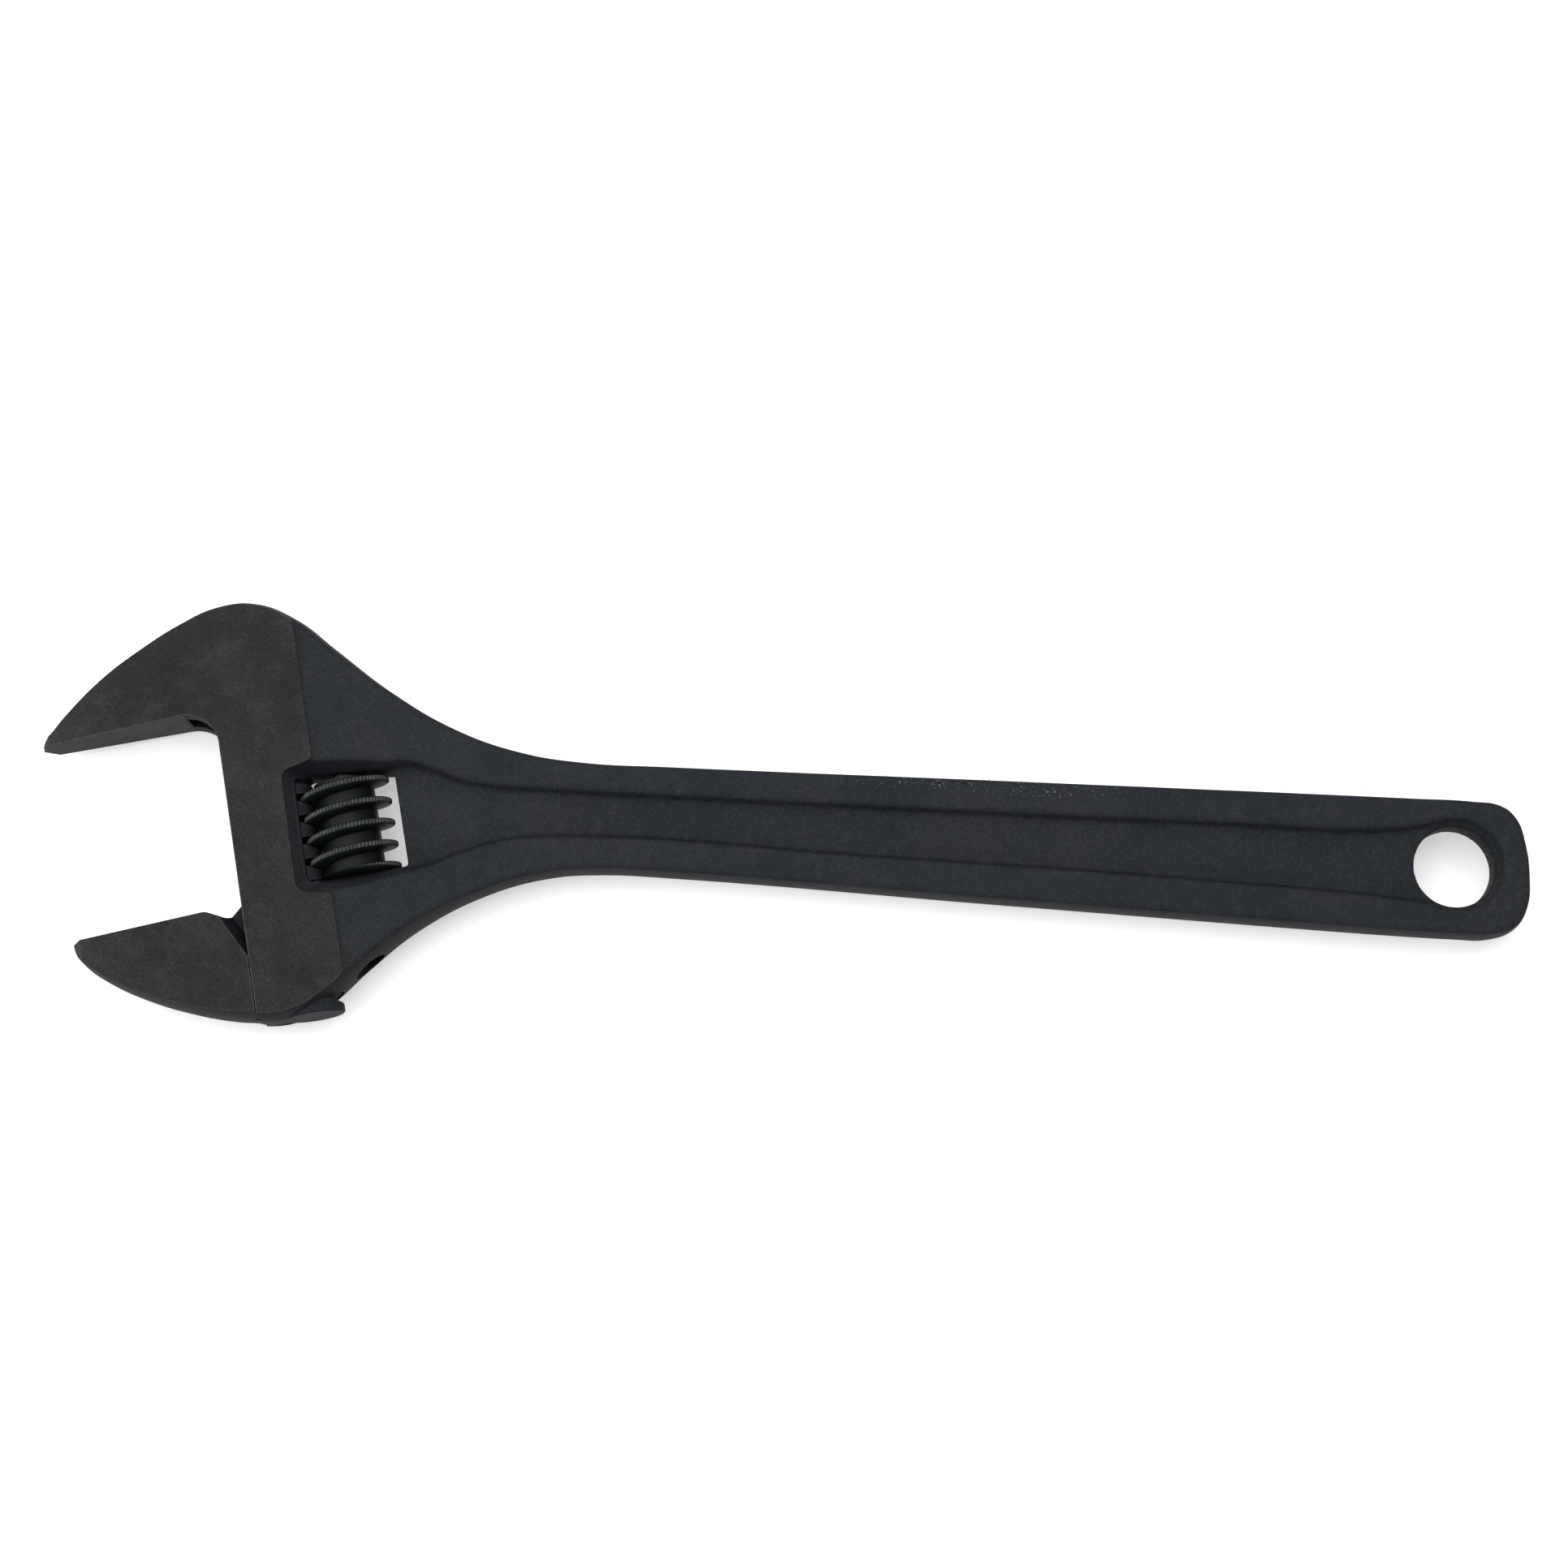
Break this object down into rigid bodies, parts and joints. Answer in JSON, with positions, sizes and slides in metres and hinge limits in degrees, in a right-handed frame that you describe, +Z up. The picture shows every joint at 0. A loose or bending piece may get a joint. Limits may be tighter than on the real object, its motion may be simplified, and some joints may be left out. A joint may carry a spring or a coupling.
{
  "type": "adjustable wrench",
  "caption": "Forged steel adjustable wrench: hooked fixed jaw, sliding toothed jaw, knurled worm in a window, ribbed handle with a hanging hole.",
  "frame": {"origin": "under the middle of the bounding box, at the wrench's lowest point as it lies on its side", "axes": "+X along the handle from the head to the hanging hole, +Y towards the fixed jaw's side, +Z up through the thickness"},
  "size_m": [0.38, 0.107, 0.0231],
  "materials": {
    "forged_steel": "blue-black oxide over fine scale, satin-matte, with worn bright edges",
    "ground_steel": "ground flat and blackened, satin, stained and scuffed",
    "worm_steel": "blackened, satin, with serrated crests",
    "pin_steel": "turned and blackened",
    "spring_steel": "drawn wire, dull"
  },
  "bodies": {
    "body": {"wrench_body": "forged_steel", "worm_pin": "pin_steel", "worm_spring": "spring_steel"},
    "jaw": {"movable_jaw": "ground_steel"},
    "worm": {"adjusting_worm": "worm_steel"}
  },
  "joints": [
    {"name": "jaw_slide", "type": "slide", "parent": "body", "child": "jaw", "axis": [-0.2334, 0.9724, 0], "range_m": [-0.002, 0.05075]},
    {"name": "worm_spin", "type": "hinge", "parent": "body", "child": "worm", "pos_m": [-0.11078, 0.00278, 0.01155], "axis": [-0.2334, 0.9724, 0], "range_deg": [-3240, 130]}
  ],
  "couplings": [
    {"joint": "worm_spin", "follows": "jaw_slide", "rad_per_m": -1112.1}
  ]
}
